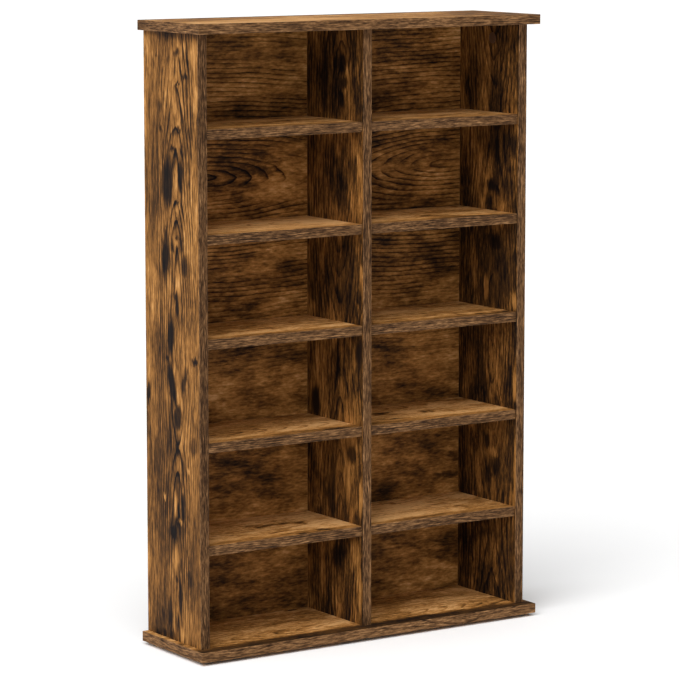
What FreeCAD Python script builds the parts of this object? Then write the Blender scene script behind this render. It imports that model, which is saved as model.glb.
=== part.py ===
"""A cd cabinet of two columns of open compartments, built of wood-effect boards.

Row frame in millimetres: X to the right along the width, Y to the back, Z up.
The origin is on the floor, under the middle of the whole cabinet.
"""

import FreeCAD
import Part

import os

import Sketcher

# Counts
COLUMNS = 2
COMPARTMENT_ROWS = 6
SHELF_ROWS = COMPARTMENT_ROWS - 1
# The middle shelf row, counted from the bottom, ties the uprights together with cam locks.
TIE_ROW = (SHELF_ROWS + 1) // 2
# Hidden dowels, bolts and screws are drawn as fluted prisms with this many sides.
FLUTES = 12
SOCKET_SIDES = 6
GLIDE_SIDES = 24

# Driving dimensions in millimetres
SIZES = {
    # boards
    "board": 15.0,
    "cell_width": 272.5,
    "cell_height": 138.5,
    "side_depth": 155.0,
    "side_overhang": 10.0,
    "front_overhang": 20.0,
    "shelf_recess": 3.0,
    # edge bands glued to the boards
    "edge_band": 0.8,
    "band_bevel": 0.4,
    # back panel, a little smaller than the carcass it is fixed to from behind
    "back_thickness": 3.0,
    "back_inset": 2.0,
    # drilling pattern of the uprights, measured from their front
    "first_fixing": 37.0,
    "fixing_pitch": 32.0,
    "bore_play": 0.1,
    "bore_end_play": 0.5,
    # wooden dowels
    "dowel_radius": 4.0,
    "dowel_length": 30.0,
    "dowel_in_face": 10.0,
    "through_dowel_length": 50.0,
    # cam locks
    "cam_radius": 7.5,
    "cam_height": 12.0,
    "cam_setback": 24.0,
    "cam_face": 3.5,
    "hook_depth": 3.2,
    "hook_width": 4.6,
    "head_room_width": 7.8,
    "head_room_length": 5.0,
    "cross_length": 8.0,
    "cross_width": 1.6,
    "cross_depth": 1.8,
    "cover_radius": 8.5,
    "cover_thickness": 1.0,
    # bolts that the cam locks pull on
    "bolt_thread_radius": 2.5,
    "bolt_thread_length": 11.0,
    "bolt_stem_radius": 3.2,
    "bolt_stem_length": 14.0,
    "bolt_neck_radius": 2.0,
    "bolt_head_radius": 3.5,
    "bolt_head_length": 3.0,
    "bolt_channel_radius": 4.0,
    # screws that hold the uprights from below
    "screw_head_radius": 5.0,
    "screw_head_length": 4.0,
    "screw_shank_radius": 3.5,
    "screw_thread_radius": 2.5,
    "screw_length": 50.0,
    "socket_radius": 2.3,
    "socket_depth": 2.5,
    # glides under the bottom panel
    "glide_radius": 9.0,
    "glide_height": 5.0,
    "nail_radius": 1.2,
    "nail_length": 12.0,
    # how far a cut runs past the face it leaves through
    "overrun": 2.0,
}


class Size:
    """A length that keeps its number together with the sheet formula that gives it."""

    def __init__(self, number, formula):
        self.number = number
        self.formula = formula

    def __add__(self, other):
        other = as_size(other)
        return Size(self.number + other.number, f"({self.formula} + {other.formula})")

    def __sub__(self, other):
        other = as_size(other)
        return Size(self.number - other.number, f"({self.formula} - {other.formula})")

    def __rmul__(self, count):
        return Size(self.number * count, f"({self.formula} * {count})")

    def __truediv__(self, count):
        return Size(self.number / count, f"({self.formula} / {count})")

    def __neg__(self):
        return Size(-self.number, f"(0 - {self.formula})")


def as_size(value):
    """A Size as it is, or a plain count such as zero turned into one."""
    if isinstance(value, Size):
        return value
    return Size(float(value), str(value))


class Sheet:
    """The spreadsheet of driving dimensions, read as attributes that are Sizes."""

    def __init__(self, document):
        cells = document.addObject("Spreadsheet::Sheet", "sizes")
        for row, (alias, number) in enumerate(SIZES.items(), start=1):
            cells.set(f"A{row}", alias)
            cells.set(f"B{row}", str(number))
            cells.setAlias(f"B{row}", alias)
        document.recompute()
        for alias in SIZES:
            setattr(self, alias, Size(float(cells.get(alias)), f"sizes.{alias}"))


document = FreeCAD.newDocument("cd_cabinet")
S = Sheet(document)

# Heights
UNDERSIDE = S.glide_height
FLOOR = UNDERSIDE + S.board
INNER_HEIGHT = COMPARTMENT_ROWS * S.cell_height + SHELF_ROWS * S.board
CEILING = FLOOR + INNER_HEIGHT

# Widths
CARCASS_WIDTH = COLUMNS * S.cell_width + (COLUMNS + 1) * S.board
LEFT_FACE = -CARCASS_WIDTH / 2
RIGHT_FACE = CARCASS_WIDTH / 2
LEFT_INNER = LEFT_FACE + S.board
RIGHT_INNER = RIGHT_FACE - S.board
DIVIDER_LEFT = -S.board / 2
DIVIDER_RIGHT = S.board / 2
TOP_LEFT = LEFT_FACE - S.side_overhang
TOP_RIGHT = RIGHT_FACE + S.side_overhang
UPRIGHT_MIDDLES = {
    "left": LEFT_FACE + S.board / 2,
    "centre": as_size(0),
    "right": RIGHT_FACE - S.board / 2,
}

# Depths
TOP_FRONT = -(S.front_overhang + S.side_depth + S.back_thickness) / 2
SIDE_FRONT = TOP_FRONT + S.front_overhang
REAR = SIDE_FRONT + S.side_depth
FRONT_FIXING = SIDE_FRONT + S.first_fixing
MIDDLE_FIXING = FRONT_FIXING + S.fixing_pitch
REAR_FIXING = MIDDLE_FIXING + S.fixing_pitch

# How deep a dowel goes into the end of a board, and the radius of its bore
DOWEL_IN_END = S.dowel_length - S.dowel_in_face
THROUGH_DOWEL_IN_END = (S.through_dowel_length - S.board) / 2
DOWEL_BORE = S.dowel_radius + S.bore_play

# Axes and turns: each turn carries a pin's own upward axis to the direction it is named for
X_AXIS = FreeCAD.Vector(1, 0, 0)
Y_AXIS = FreeCAD.Vector(0, 1, 0)
Z_AXIS = FreeCAD.Vector(0, 0, 1)
UP = FreeCAD.Rotation()
DOWN = FreeCAD.Rotation(X_AXIS, 180)
TO_RIGHT = FreeCAD.Rotation(Y_AXIS, 90)
TO_LEFT = FreeCAD.Rotation(Y_AXIS, -90)


def turn(x_axis, y_axis, z_axis):
    """The rotation that carries a piece's own axes to the three given directions."""
    return FreeCAD.Rotation(x_axis, y_axis, z_axis, "ZXY")


def bind(item, name, size):
    """Tie one property of a document object to the sheet."""
    item.setExpression(name, as_size(size).formula)


def place(item, corner, rotation=UP):
    """Turn an object and tie its position to the sheet."""
    item.Placement = FreeCAD.Placement(FreeCAD.Vector(), rotation)
    for axis, size in zip("xyz", corner):
        bind(item, f"Placement.Base.{axis}", size)


def block(label, size, corner):
    """A rectangular block with its lowest corner at corner."""
    item = document.addObject("Part::Box", label)
    for name, length in zip(("Length", "Width", "Height"), size):
        bind(item, name, length)
    place(item, corner)
    return item


def prism(label, radius, length, start, rotation=UP, sides=FLUTES):
    """A fluted pin that starts at start and runs along the turned axis."""
    item = document.addObject("Part::Prism", label)
    item.Polygon = sides
    bind(item, "Circumradius", radius)
    bind(item, "Height", length)
    place(item, start, rotation)
    return item


def cylinder(label, radius, length, start, rotation=UP):
    """A round disc or bore that starts at start and runs along the turned axis."""
    item = document.addObject("Part::Cylinder", label)
    bind(item, "Radius", radius)
    bind(item, "Height", length)
    place(item, start, rotation)
    return item


def fused(label, items):
    """One solid made of several."""
    item = document.addObject("Part::MultiFuse", label)
    item.Shapes = items
    return item


def copy_of(form, label, point, rotation):
    """A copy of a form, turned and put at a point."""
    item = document.addObject("App::Link", label)
    item.LinkedObject = form
    place(item, point, rotation)
    return item


def scattered(label, form, spots):
    """Copies of one form, as a group of separate solids."""
    group = document.addObject("Part::Compound", label)
    group.Links = [
        copy_of(form, f"{label}_{index}", point, rotation)
        for index, (point, rotation) in enumerate(spots, start=1)
    ]
    return group


def cut(label, base, tools):
    """The base with every tool taken out of it."""
    item = document.addObject("Part::Cut", label)
    item.Base = base
    item.Tool = tools[0] if len(tools) == 1 else fused(f"{label}_cuts", tools)
    return item


class Board:
    """A rectangular board in its own frame, drilled and then put in its place."""

    def __init__(self, label, low, high):
        self.label = label
        self.low = low
        size = [top - bottom for bottom, top in zip(low, high)]
        self.blank = block(f"{label}_blank", size, (0, 0, 0))
        self.tools = []

    def own(self, point):
        """A point of the cabinet in the board's own frame."""
        return [value - corner for value, corner in zip(point, self.low)]

    def tool_label(self):
        """The next tool's label."""
        return f"{self.label}_cut_{len(self.tools) + 1}"

    def bore(self, radius, depth, mouth, rotation):
        """A bore for a fluted pin, from its mouth on a face inwards."""
        self.tools.append(prism(self.tool_label(), radius, depth, self.own(mouth), rotation))

    def cam_bore(self, mouth, rotation):
        """The wide round bore that a cam lock lies in, open at the board's hidden face."""
        radius = S.cam_radius + S.bore_play
        depth = S.cam_height + S.bore_end_play
        self.tools.append(cylinder(self.tool_label(), radius, depth, self.own(mouth), rotation))

    def finish(self):
        """The finished board at its place in the cabinet."""
        board = cut(self.label, self.blank, self.tools)
        place(board, self.low)
        return board


def origin_plane(body, role):
    """One of a body's own origin planes, found by its role."""
    for feature in body.Origin.OriginFeatures:
        if feature.Role == role:
            return feature
    raise ValueError(f"{body.Label} has no {role}")


def outline(body, label, corners):
    """A sketch on the body's XY plane, a closed outline through corners given as Sizes."""
    sketch = body.newObject("Sketcher::SketchObject", label)
    sketch.AttachmentSupport = [(origin_plane(body, "XY_Plane"), "")]
    sketch.MapMode = "FlatFace"
    corners = [(as_size(x), as_size(y)) for x, y in corners]
    points = [FreeCAD.Vector(x.number, y.number) for x, y in corners]
    count = len(points)
    for index in range(count):
        sketch.addGeometry(Part.LineSegment(points[index], points[(index + 1) % count]), False)
    for index in range(count):
        sketch.addConstraint(Sketcher.Constraint("Coincident", index, 2, (index + 1) % count, 1))
    for index, corner in enumerate(corners):
        for kind, axis, size in zip(("DistanceX", "DistanceY"), (-2, -1), corner):
            if size.number == 0:
                sketch.addConstraint(Sketcher.Constraint("PointOnObject", index, 1, axis))
                continue
            rule = Sketcher.Constraint(kind, -1, 1, index, 1, size.number)
            bind(sketch, f"Constraints[{sketch.addConstraint(rule)}]", size)
    return sketch


def disc(body, label, radius):
    """A sketch on the body's XY plane, a circle about its origin."""
    sketch = body.newObject("Sketcher::SketchObject", label)
    sketch.AttachmentSupport = [(origin_plane(body, "XY_Plane"), "")]
    sketch.MapMode = "FlatFace"
    sketch.addGeometry(Part.Circle(FreeCAD.Vector(), Z_AXIS, radius.number), False)
    sketch.addConstraint(Sketcher.Constraint("Coincident", 0, 3, -1, 1))
    rule = Sketcher.Constraint("Radius", 0, radius.number)
    bind(sketch, f"Constraints[{sketch.addConstraint(rule)}]", radius)
    return sketch


def pad(body, sketch, length):
    """Raise a sketch to a solid along the body's Z axis."""
    feature = body.newObject("PartDesign::Pad", f"{sketch.Label}_pad")
    feature.Profile = sketch
    bind(feature, "Length", length)
    document.recompute()


def pocket(body, sketch, depth, start=0):
    """Take a sketch out of the body along its Z axis, from start upwards."""
    bind(sketch, "AttachmentOffset.Base.z", start)
    before = body.Shape.Volume
    feature = body.newObject("PartDesign::Pocket", f"{sketch.Label}_pocket")
    feature.Profile = sketch
    feature.Reversed = True
    bind(feature, "Length", depth)
    document.recompute()
    if body.Shape.Volume >= before:
        raise ValueError(f"{feature.Label} cuts nothing")


def edge_band(label, length):
    """A glued edge band with bevelled outer corners.

    Its own X runs across the board's thickness, its Y outwards and its Z along the band.
    """
    body = document.addObject("PartDesign::Body", label)
    shoulder = S.edge_band - S.band_bevel
    corners = [
        (0, 0),
        (S.board, 0),
        (S.board, shoulder),
        (S.board - S.band_bevel, S.edge_band),
        (S.band_bevel, S.edge_band),
        (0, shoulder),
    ]
    pad(body, outline(body, f"{label}_profile", corners), length)
    return body


def cam_lock():
    """A cam lock, its drive face down at zero, hooked towards its own +X side."""
    body = document.addObject("PartDesign::Body", "cam_lock_form")
    pad(body, disc(body, "cam_housing", S.cam_radius), S.cam_height)
    lip = S.cam_radius - S.hook_depth
    mouth = S.cam_radius + S.overrun
    end = lip - S.head_room_length
    narrow = S.hook_width / 2
    wide = S.head_room_width / 2
    hook = [
        (mouth, -narrow),
        (mouth, narrow),
        (lip, narrow),
        (lip, wide),
        (end, wide),
        (end, -wide),
        (lip, -wide),
        (lip, -narrow),
    ]
    pocket(body, outline(body, "cam_hook", hook), S.cam_height - S.cam_face, S.cam_face)
    reach = S.cross_length / 2
    half = S.cross_width / 2
    cross = [
        (reach, -half),
        (reach, half),
        (half, half),
        (half, reach),
        (-half, reach),
        (-half, half),
        (-reach, half),
        (-reach, -half),
        (-half, -half),
        (-half, -reach),
        (half, -reach),
        (half, -half),
    ]
    pocket(body, outline(body, "cam_cross", cross), S.cross_depth)
    return body


def bolt_tip():
    """The neck and head that a cam lock holds; the board's face they stand out from is at zero."""
    lip = S.cam_setback - S.cam_radius + S.hook_depth + S.bore_play
    neck_length = lip - S.bolt_stem_length
    neck = prism("bolt_neck", S.bolt_neck_radius, neck_length, (0, 0, S.bolt_stem_length))
    head = prism("bolt_head", S.bolt_head_radius, S.bolt_head_length, (0, 0, lip))
    return fused("bolt_tip", [neck, head])


def cam_bolt(tip):
    """A cam bolt: thread below zero, stem and tip above it."""
    thread = prism("bolt_thread", S.bolt_thread_radius, S.bolt_thread_length, (0, 0, 0), DOWN)
    stem = prism("bolt_stem", S.bolt_stem_radius, S.bolt_stem_length, (0, 0, 0))
    return fused("cam_bolt_form", [thread, stem, tip])


def double_bolt(tip):
    """A bolt with a tip at both ends, centred on the divider that it passes through."""
    length = S.board + 2 * S.bolt_stem_length
    stem = prism("double_stem", S.bolt_stem_radius, length, (0, 0, -length / 2))
    upper = copy_of(tip, "double_upper", (0, 0, S.board / 2), UP)
    lower = copy_of(tip, "double_lower", (0, 0, -S.board / 2), DOWN)
    return fused("double_bolt_form", [stem, upper, lower])


def base_screw():
    """A stepped screw, its head face down at zero, with a six-sided socket."""
    neck = S.board - S.screw_head_length
    thread = S.screw_length - S.board
    solid = fused(
        "screw_solid",
        [
            prism("screw_head", S.screw_head_radius, S.screw_head_length, (0, 0, 0)),
            prism("screw_shank", S.screw_shank_radius, neck, (0, 0, S.screw_head_length)),
            prism("screw_thread", S.screw_thread_radius, thread, (0, 0, S.board)),
        ],
    )
    socket = prism(
        "screw_socket", S.socket_radius, S.socket_depth, (0, 0, 0), UP, SOCKET_SIDES
    )
    return cut("screw_form", solid, [socket])


def glide(label, x, y):
    """A plastic glide with its nail moulded in, standing on the floor."""
    foot = prism(f"{label}_foot", S.glide_radius, S.glide_height, (0, 0, 0), UP, GLIDE_SIDES)
    nail = prism(f"{label}_nail", S.nail_radius, S.nail_length, (0, 0, S.glide_height))
    item = fused(label, [foot, nail])
    place(item, (x, y, 0))
    return item


def shelf_bottom(row):
    """Height of a shelf's underside, rows counted from the bottom."""
    return FLOOR + row * S.cell_height + (row - 1) * S.board


def fixing_height(row):
    """Height of the middle of a shelf."""
    return shelf_bottom(row) + S.board / 2


def top_panel():
    """The top panel's core, drilled from below."""
    low = (TOP_LEFT + S.edge_band, TOP_FRONT + S.edge_band, CEILING)
    high = (TOP_RIGHT - S.edge_band, REAR, CEILING + S.board)
    board = Board("top_panel", low, high)
    for middle in UPRIGHT_MIDDLES.values():
        for fixing in (FRONT_FIXING, REAR_FIXING):
            depth = S.dowel_in_face + S.bore_end_play
            board.bore(DOWEL_BORE, depth, (middle, fixing, CEILING), UP)
        radius = S.bolt_thread_radius + S.bore_play
        depth = S.bolt_thread_length + S.bore_end_play
        board.bore(radius, depth, (middle, MIDDLE_FIXING, CEILING), UP)
    return board.finish()


def bottom_panel():
    """The bottom panel's core, drilled from both faces."""
    low = (TOP_LEFT + S.edge_band, TOP_FRONT + S.edge_band, UNDERSIDE)
    high = (TOP_RIGHT - S.edge_band, REAR, FLOOR)
    board = Board("bottom_panel", low, high)
    for middle in UPRIGHT_MIDDLES.values():
        for fixing in (FRONT_FIXING, REAR_FIXING):
            depth = S.dowel_in_face + S.bore_end_play
            board.bore(DOWEL_BORE, depth, (middle, fixing, FLOOR), DOWN)
        screw = (middle, MIDDLE_FIXING, UNDERSIDE)
        board.bore(S.screw_head_radius + S.bore_play, S.screw_head_length, screw, UP)
        board.bore(S.screw_shank_radius + S.bore_play, S.board + S.overrun, screw, UP)
        for y in glide_depths().values():
            depth = S.nail_length + S.bore_end_play
            board.bore(S.nail_radius + S.bore_play, depth, (middle, y, UNDERSIDE), UP)
    return board.finish()


def glide_depths():
    """Places of the front and rear glides, as far in from the front as from the back."""
    return {"front": SIDE_FRONT, "rear": REAR - S.front_overhang}


def upright(label, middle):
    """A side panel's or the divider's core with the bores in its two ends."""
    left = middle - S.board / 2
    right = middle + S.board / 2
    board = Board(label, (left, SIDE_FRONT + S.edge_band, FLOOR), (right, REAR, CEILING))
    for fixing in (FRONT_FIXING, REAR_FIXING):
        depth = DOWEL_IN_END + S.bore_end_play
        board.bore(DOWEL_BORE, depth, (middle, fixing, CEILING), DOWN)
        board.bore(DOWEL_BORE, depth, (middle, fixing, FLOOR), UP)
    board.bore(S.bolt_channel_radius, S.cam_setback, (middle, MIDDLE_FIXING, CEILING), DOWN)
    pilot = S.screw_length - S.board + S.bore_end_play
    board.bore(S.screw_thread_radius + S.bore_play, pilot, (middle, MIDDLE_FIXING, FLOOR), UP)
    return board


def side_panel(label, middle, inner, outwards):
    """A side panel, drilled on its inner face for the shelves."""
    board = upright(label, middle)
    board.cam_bore((inner, MIDDLE_FIXING, CEILING - S.cam_setback), outwards)
    for row in range(1, SHELF_ROWS + 1):
        height = fixing_height(row)
        depth = S.dowel_in_face + S.bore_end_play
        board.bore(DOWEL_BORE, depth, (inner, FRONT_FIXING, height), outwards)
        radius = DOWEL_BORE
        if row == TIE_ROW:
            radius = S.bolt_thread_radius + S.bore_play
            depth = S.bolt_thread_length + S.bore_end_play
        board.bore(radius, depth, (inner, REAR_FIXING, height), outwards)
    return board.finish()


def centre_divider():
    """The divider between the columns, drilled through for the shelves of both sides."""
    board = upright("centre_divider", UPRIGHT_MIDDLES["centre"])
    board.cam_bore((DIVIDER_RIGHT, MIDDLE_FIXING, CEILING - S.cam_setback), TO_LEFT)
    start = DIVIDER_LEFT - S.overrun
    depth = S.board + 2 * S.overrun
    for row in range(1, SHELF_ROWS + 1):
        height = fixing_height(row)
        board.bore(DOWEL_BORE, depth, (start, FRONT_FIXING, height), TO_RIGHT)
        radius = S.bolt_stem_radius + S.bore_play if row == TIE_ROW else DOWEL_BORE
        board.bore(radius, depth, (start, REAR_FIXING, height), TO_RIGHT)
    return board.finish()


def back_panel():
    """The thin back panel, flat on the rear edges of the carcass."""
    width = CARCASS_WIDTH - 2 * S.back_inset
    height = CEILING + S.board - UNDERSIDE - 2 * S.back_inset
    corner = (LEFT_FACE + S.back_inset, REAR, UNDERSIDE + S.back_inset)
    return block("back_panel", (width, S.back_thickness, height), corner)


def shelf(label, row, left, right, left_depth, right_depth):
    """A shelf's core, drilled in both ends, with cam bores from below in the tie row.

    The two depths are how far the dowels reach into its left and right ends.
    """
    bottom = shelf_bottom(row)
    front = SIDE_FRONT + S.shelf_recess + S.edge_band
    board = Board(label, (left, front, bottom), (right, REAR, bottom + S.board))
    left_depth = left_depth + S.bore_end_play
    right_depth = right_depth + S.bore_end_play
    height = fixing_height(row)
    radius = DOWEL_BORE
    board.bore(radius, left_depth, (left, FRONT_FIXING, height), TO_RIGHT)
    board.bore(radius, right_depth, (right, FRONT_FIXING, height), TO_LEFT)
    if row == TIE_ROW:
        radius = S.bolt_channel_radius
        left_depth = S.cam_setback
        right_depth = S.cam_setback
        board.cam_bore((left + S.cam_setback, REAR_FIXING, bottom), UP)
        board.cam_bore((right - S.cam_setback, REAR_FIXING, bottom), UP)
    board.bore(radius, left_depth, (left, REAR_FIXING, height), TO_RIGHT)
    board.bore(radius, right_depth, (right, REAR_FIXING, height), TO_LEFT)
    return board.finish()


def level_panel_edging(label, bottom):
    """Edge bands of the top or bottom panel: along its front and both of its ends."""
    front = edge_band(f"{label}_front", TOP_RIGHT - TOP_LEFT)
    place(front, (TOP_LEFT, TOP_FRONT + S.edge_band, bottom), turn(Z_AXIS, -Y_AXIS, X_AXIS))
    left = edge_band(f"{label}_left", REAR - TOP_FRONT - S.edge_band)
    left_corner = (TOP_LEFT + S.edge_band, TOP_FRONT + S.edge_band, bottom + S.board)
    place(left, left_corner, turn(-Z_AXIS, -X_AXIS, Y_AXIS))
    right = edge_band(f"{label}_right", REAR - TOP_FRONT - S.edge_band)
    right_corner = (TOP_RIGHT - S.edge_band, TOP_FRONT + S.edge_band, bottom)
    place(right, right_corner, turn(Z_AXIS, X_AXIS, Y_AXIS))
    group = document.addObject("Part::Compound", label)
    group.Links = [front, left, right]
    return group


def upright_edging(label, middle):
    """The edge band on the front of a side panel or of the divider."""
    band = edge_band(label, INNER_HEIGHT)
    corner = (middle + S.board / 2, SIDE_FRONT + S.edge_band, FLOOR)
    place(band, corner, turn(-X_AXIS, -Y_AXIS, Z_AXIS))
    return band


def shelf_edging():
    """The edge bands on the fronts of all shelves."""
    band = edge_band("shelf_band_form", S.cell_width)
    front = SIDE_FRONT + S.shelf_recess + S.edge_band
    spots = []
    for left in (LEFT_INNER, DIVIDER_RIGHT):
        for row in range(1, SHELF_ROWS + 1):
            spots.append(((left, front, shelf_bottom(row)), turn(Z_AXIS, -Y_AXIS, X_AXIS)))
    return scattered("shelf_edging", band, spots)


def carcass_dowels():
    """Dowels between the uprights' ends and the top and bottom panels."""
    form = prism("carcass_dowel_form", S.dowel_radius, S.dowel_length, (0, 0, 0))
    spots = []
    for middle in UPRIGHT_MIDDLES.values():
        for fixing in (FRONT_FIXING, REAR_FIXING):
            spots.append(((middle, fixing, CEILING - DOWEL_IN_END), UP))
            spots.append(((middle, fixing, FLOOR - S.dowel_in_face), UP))
    return scattered("carcass_dowels", form, spots)


def dowel_fixings(row):
    """The depths at which a shelf row is dowelled."""
    return [FRONT_FIXING] if row == TIE_ROW else [FRONT_FIXING, REAR_FIXING]


def shelf_dowels():
    """Dowels between the side panels and the outer ends of the shelves."""
    form = prism("shelf_dowel_form", S.dowel_radius, S.dowel_length, (0, 0, 0))
    spots = []
    for row in range(1, SHELF_ROWS + 1):
        for fixing in dowel_fixings(row):
            height = fixing_height(row)
            spots.append(((LEFT_INNER - S.dowel_in_face, fixing, height), TO_RIGHT))
            spots.append(((RIGHT_INNER + S.dowel_in_face, fixing, height), TO_LEFT))
    return scattered("shelf_dowels", form, spots)


def divider_dowels():
    """Long dowels through the divider, each in the ends of two shelves."""
    form = prism("divider_dowel_form", S.dowel_radius, S.through_dowel_length, (0, 0, 0))
    spots = []
    for row in range(1, SHELF_ROWS + 1):
        for fixing in dowel_fixings(row):
            start = -S.through_dowel_length / 2
            spots.append(((start, fixing, fixing_height(row)), TO_RIGHT))
    return scattered("divider_dowels", form, spots)


def cam_locks():
    """Cam locks: one in the top end of each upright and one in each end of the tie shelves."""
    mouth_up_face_right = turn(Z_AXIS, Y_AXIS, -X_AXIS)
    mouth_up_face_left = turn(Z_AXIS, -Y_AXIS, X_AXIS)
    upright_height = CEILING - S.cam_setback
    spots = [
        ((LEFT_INNER, MIDDLE_FIXING, upright_height), mouth_up_face_right),
        ((DIVIDER_RIGHT, MIDDLE_FIXING, upright_height), mouth_up_face_right),
        ((RIGHT_INNER, MIDDLE_FIXING, upright_height), mouth_up_face_left),
    ]
    bottom = shelf_bottom(TIE_ROW)
    mouth_left = FreeCAD.Rotation(Z_AXIS, 180)
    for left, right in ((LEFT_INNER, DIVIDER_LEFT), (DIVIDER_RIGHT, RIGHT_INNER)):
        spots.append(((left + S.cam_setback, REAR_FIXING, bottom), mouth_left))
        spots.append(((right - S.cam_setback, REAR_FIXING, bottom), UP))
    return scattered("cam_locks", cam_lock(), spots)


def cam_bolts(tip):
    """Cam bolts: three down from the top panel, two inwards from the side panels."""
    spots = [((middle, MIDDLE_FIXING, CEILING), DOWN) for middle in UPRIGHT_MIDDLES.values()]
    height = fixing_height(TIE_ROW)
    spots.append(((LEFT_INNER, REAR_FIXING, height), TO_RIGHT))
    spots.append(((RIGHT_INNER, REAR_FIXING, height), TO_LEFT))
    return scattered("cam_bolts", cam_bolt(tip), spots)


def double_ended_bolt(tip):
    """The bolt through the divider that pulls the two tie shelves together."""
    spots = [((0, REAR_FIXING, fixing_height(TIE_ROW)), TO_RIGHT)]
    return scattered("double_ended_bolt", double_bolt(tip), spots)


def cam_covers():
    """Thin plastic covers over the cam locks that show inside the top compartments."""
    form = cylinder("cam_cover_form", S.cover_radius, S.cover_thickness, (0, 0, 0))
    height = CEILING - S.cam_setback
    spots = [
        ((LEFT_INNER, MIDDLE_FIXING, height), TO_RIGHT),
        ((DIVIDER_RIGHT, MIDDLE_FIXING, height), TO_RIGHT),
        ((RIGHT_INNER, MIDDLE_FIXING, height), TO_LEFT),
    ]
    return scattered("cam_covers", form, spots)


def base_screws():
    """Screws up through the bottom panel into the uprights."""
    spots = [((middle, MIDDLE_FIXING, UNDERSIDE), UP) for middle in UPRIGHT_MIDDLES.values()]
    return scattered("base_screws", base_screw(), spots)


def boards():
    """The panels, the divider and the shelves."""
    items = [
        top_panel(),
        bottom_panel(),
        side_panel("left_side_panel", UPRIGHT_MIDDLES["left"], LEFT_INNER, TO_LEFT),
        side_panel("right_side_panel", UPRIGHT_MIDDLES["right"], RIGHT_INNER, TO_RIGHT),
        centre_divider(),
        back_panel(),
    ]
    outer = DOWEL_IN_END
    inner = THROUGH_DOWEL_IN_END
    for row in range(1, SHELF_ROWS + 1):
        items.append(shelf(f"left_shelf_{row}", row, LEFT_INNER, DIVIDER_LEFT, outer, inner))
        items.append(shelf(f"right_shelf_{row}", row, DIVIDER_RIGHT, RIGHT_INNER, inner, outer))
    return items


def edging():
    """The edge bands, one node for each board or family of boards."""
    return [
        level_panel_edging("top_panel_edging", CEILING),
        level_panel_edging("bottom_panel_edging", UNDERSIDE),
        upright_edging("left_side_edging", UPRIGHT_MIDDLES["left"]),
        upright_edging("right_side_edging", UPRIGHT_MIDDLES["right"]),
        upright_edging("divider_edging", UPRIGHT_MIDDLES["centre"]),
        shelf_edging(),
    ]


def fixings():
    """Dowels, cam locks, bolts, covers and screws."""
    tip = bolt_tip()
    return [
        carcass_dowels(),
        shelf_dowels(),
        divider_dowels(),
        cam_locks(),
        cam_bolts(tip),
        double_ended_bolt(tip),
        cam_covers(),
        base_screws(),
    ]


def glides():
    """Six glides: a front and a rear one under each upright."""
    items = []
    for end, y in glide_depths().items():
        for side, x in UPRIGHT_MIDDLES.items():
            items.append(glide(f"{end}_{side}_glide", x, y))
    return items


def check(nodes):
    """Stop if any object failed or any node's shape is empty or unsound."""
    for item in document.Objects:
        if "Invalid" in item.State or "Error" in item.State:
            raise RuntimeError(f"{item.Label} is {item.State}")
    for node in nodes:
        if node.Shape.isNull() or not node.Shape.isValid() or not node.Shape.Solids:
            raise RuntimeError(f"{node.Label} has no sound solid")


def main():
    """Build every node, check it and write it."""
    nodes = boards() + edging() + fixings() + glides()
    document.recompute()
    check(nodes)
    os.makedirs("parts", exist_ok=True)
    for node in nodes:
        node.Shape.exportStep(os.path.join("parts", f"{node.Label}.step"))
        print(node.Label, len(node.Shape.Solids), round(node.Shape.Volume))


main()
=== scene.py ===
"""Looks of the cd cabinet: printed oak on its boards, plain fixings, floor, light and camera.

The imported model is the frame. Its nodes keep their shapes and get their finishes here, and the
heads of the back panel's pins, which are too small for it, are made here. Lengths are in metres:
X to the right, Y to the back, Z up, with the floor at zero.
"""

import logging
import math
from dataclasses import dataclass, replace
from enum import Enum

import bpy
import numpy as np
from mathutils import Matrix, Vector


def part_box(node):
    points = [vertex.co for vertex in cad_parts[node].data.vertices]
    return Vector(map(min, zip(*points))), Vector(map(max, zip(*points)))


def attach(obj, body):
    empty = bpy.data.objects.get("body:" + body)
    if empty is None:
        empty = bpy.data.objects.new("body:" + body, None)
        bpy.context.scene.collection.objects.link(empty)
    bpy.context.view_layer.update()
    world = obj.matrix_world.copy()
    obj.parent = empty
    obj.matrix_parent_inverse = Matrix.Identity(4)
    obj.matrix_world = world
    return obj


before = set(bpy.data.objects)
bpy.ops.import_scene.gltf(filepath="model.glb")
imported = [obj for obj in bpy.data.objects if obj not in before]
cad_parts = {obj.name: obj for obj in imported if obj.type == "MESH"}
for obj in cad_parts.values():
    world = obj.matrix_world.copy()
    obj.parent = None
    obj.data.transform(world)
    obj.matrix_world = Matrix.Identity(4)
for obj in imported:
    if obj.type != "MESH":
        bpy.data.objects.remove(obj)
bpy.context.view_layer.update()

LOG = logging.getLogger("cd_cabinet")
ROOT = "root"

Material = bpy.types.Material
Socket = bpy.types.NodeSocket
Pair = tuple[float, float]
Triple = tuple[float, float, float]
Stops = tuple[tuple[float, Triple], ...]
MM = 0.001
# The uprights' fronts, the left side's outer face and the boards' rear edges
SIDE_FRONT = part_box("left_side_edging")[0].y
OUTER_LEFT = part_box("left_side_panel")[0].x
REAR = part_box("left_side_panel")[1].y


def printed(red: int, green: int, blue: int) -> Triple:
    """Turns a colour as it shows on a screen into linear light.

    Each channel, as a share of 255, is raised by the screen curve: a straight line near black and
    a power of 2.4 above it.

    Args:
        red: 0 to 255.
        green: 0 to 255.
        blue: 0 to 255.

    Returns:
        The linear channels.
    """
    shares = np.array([red, green, blue]) / 255.0
    linear = np.where(shares <= 0.04045, shares / 12.92, ((shares + 0.055) / 1.055) ** 2.4)
    return tuple(float(channel) for channel in linear)


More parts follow.
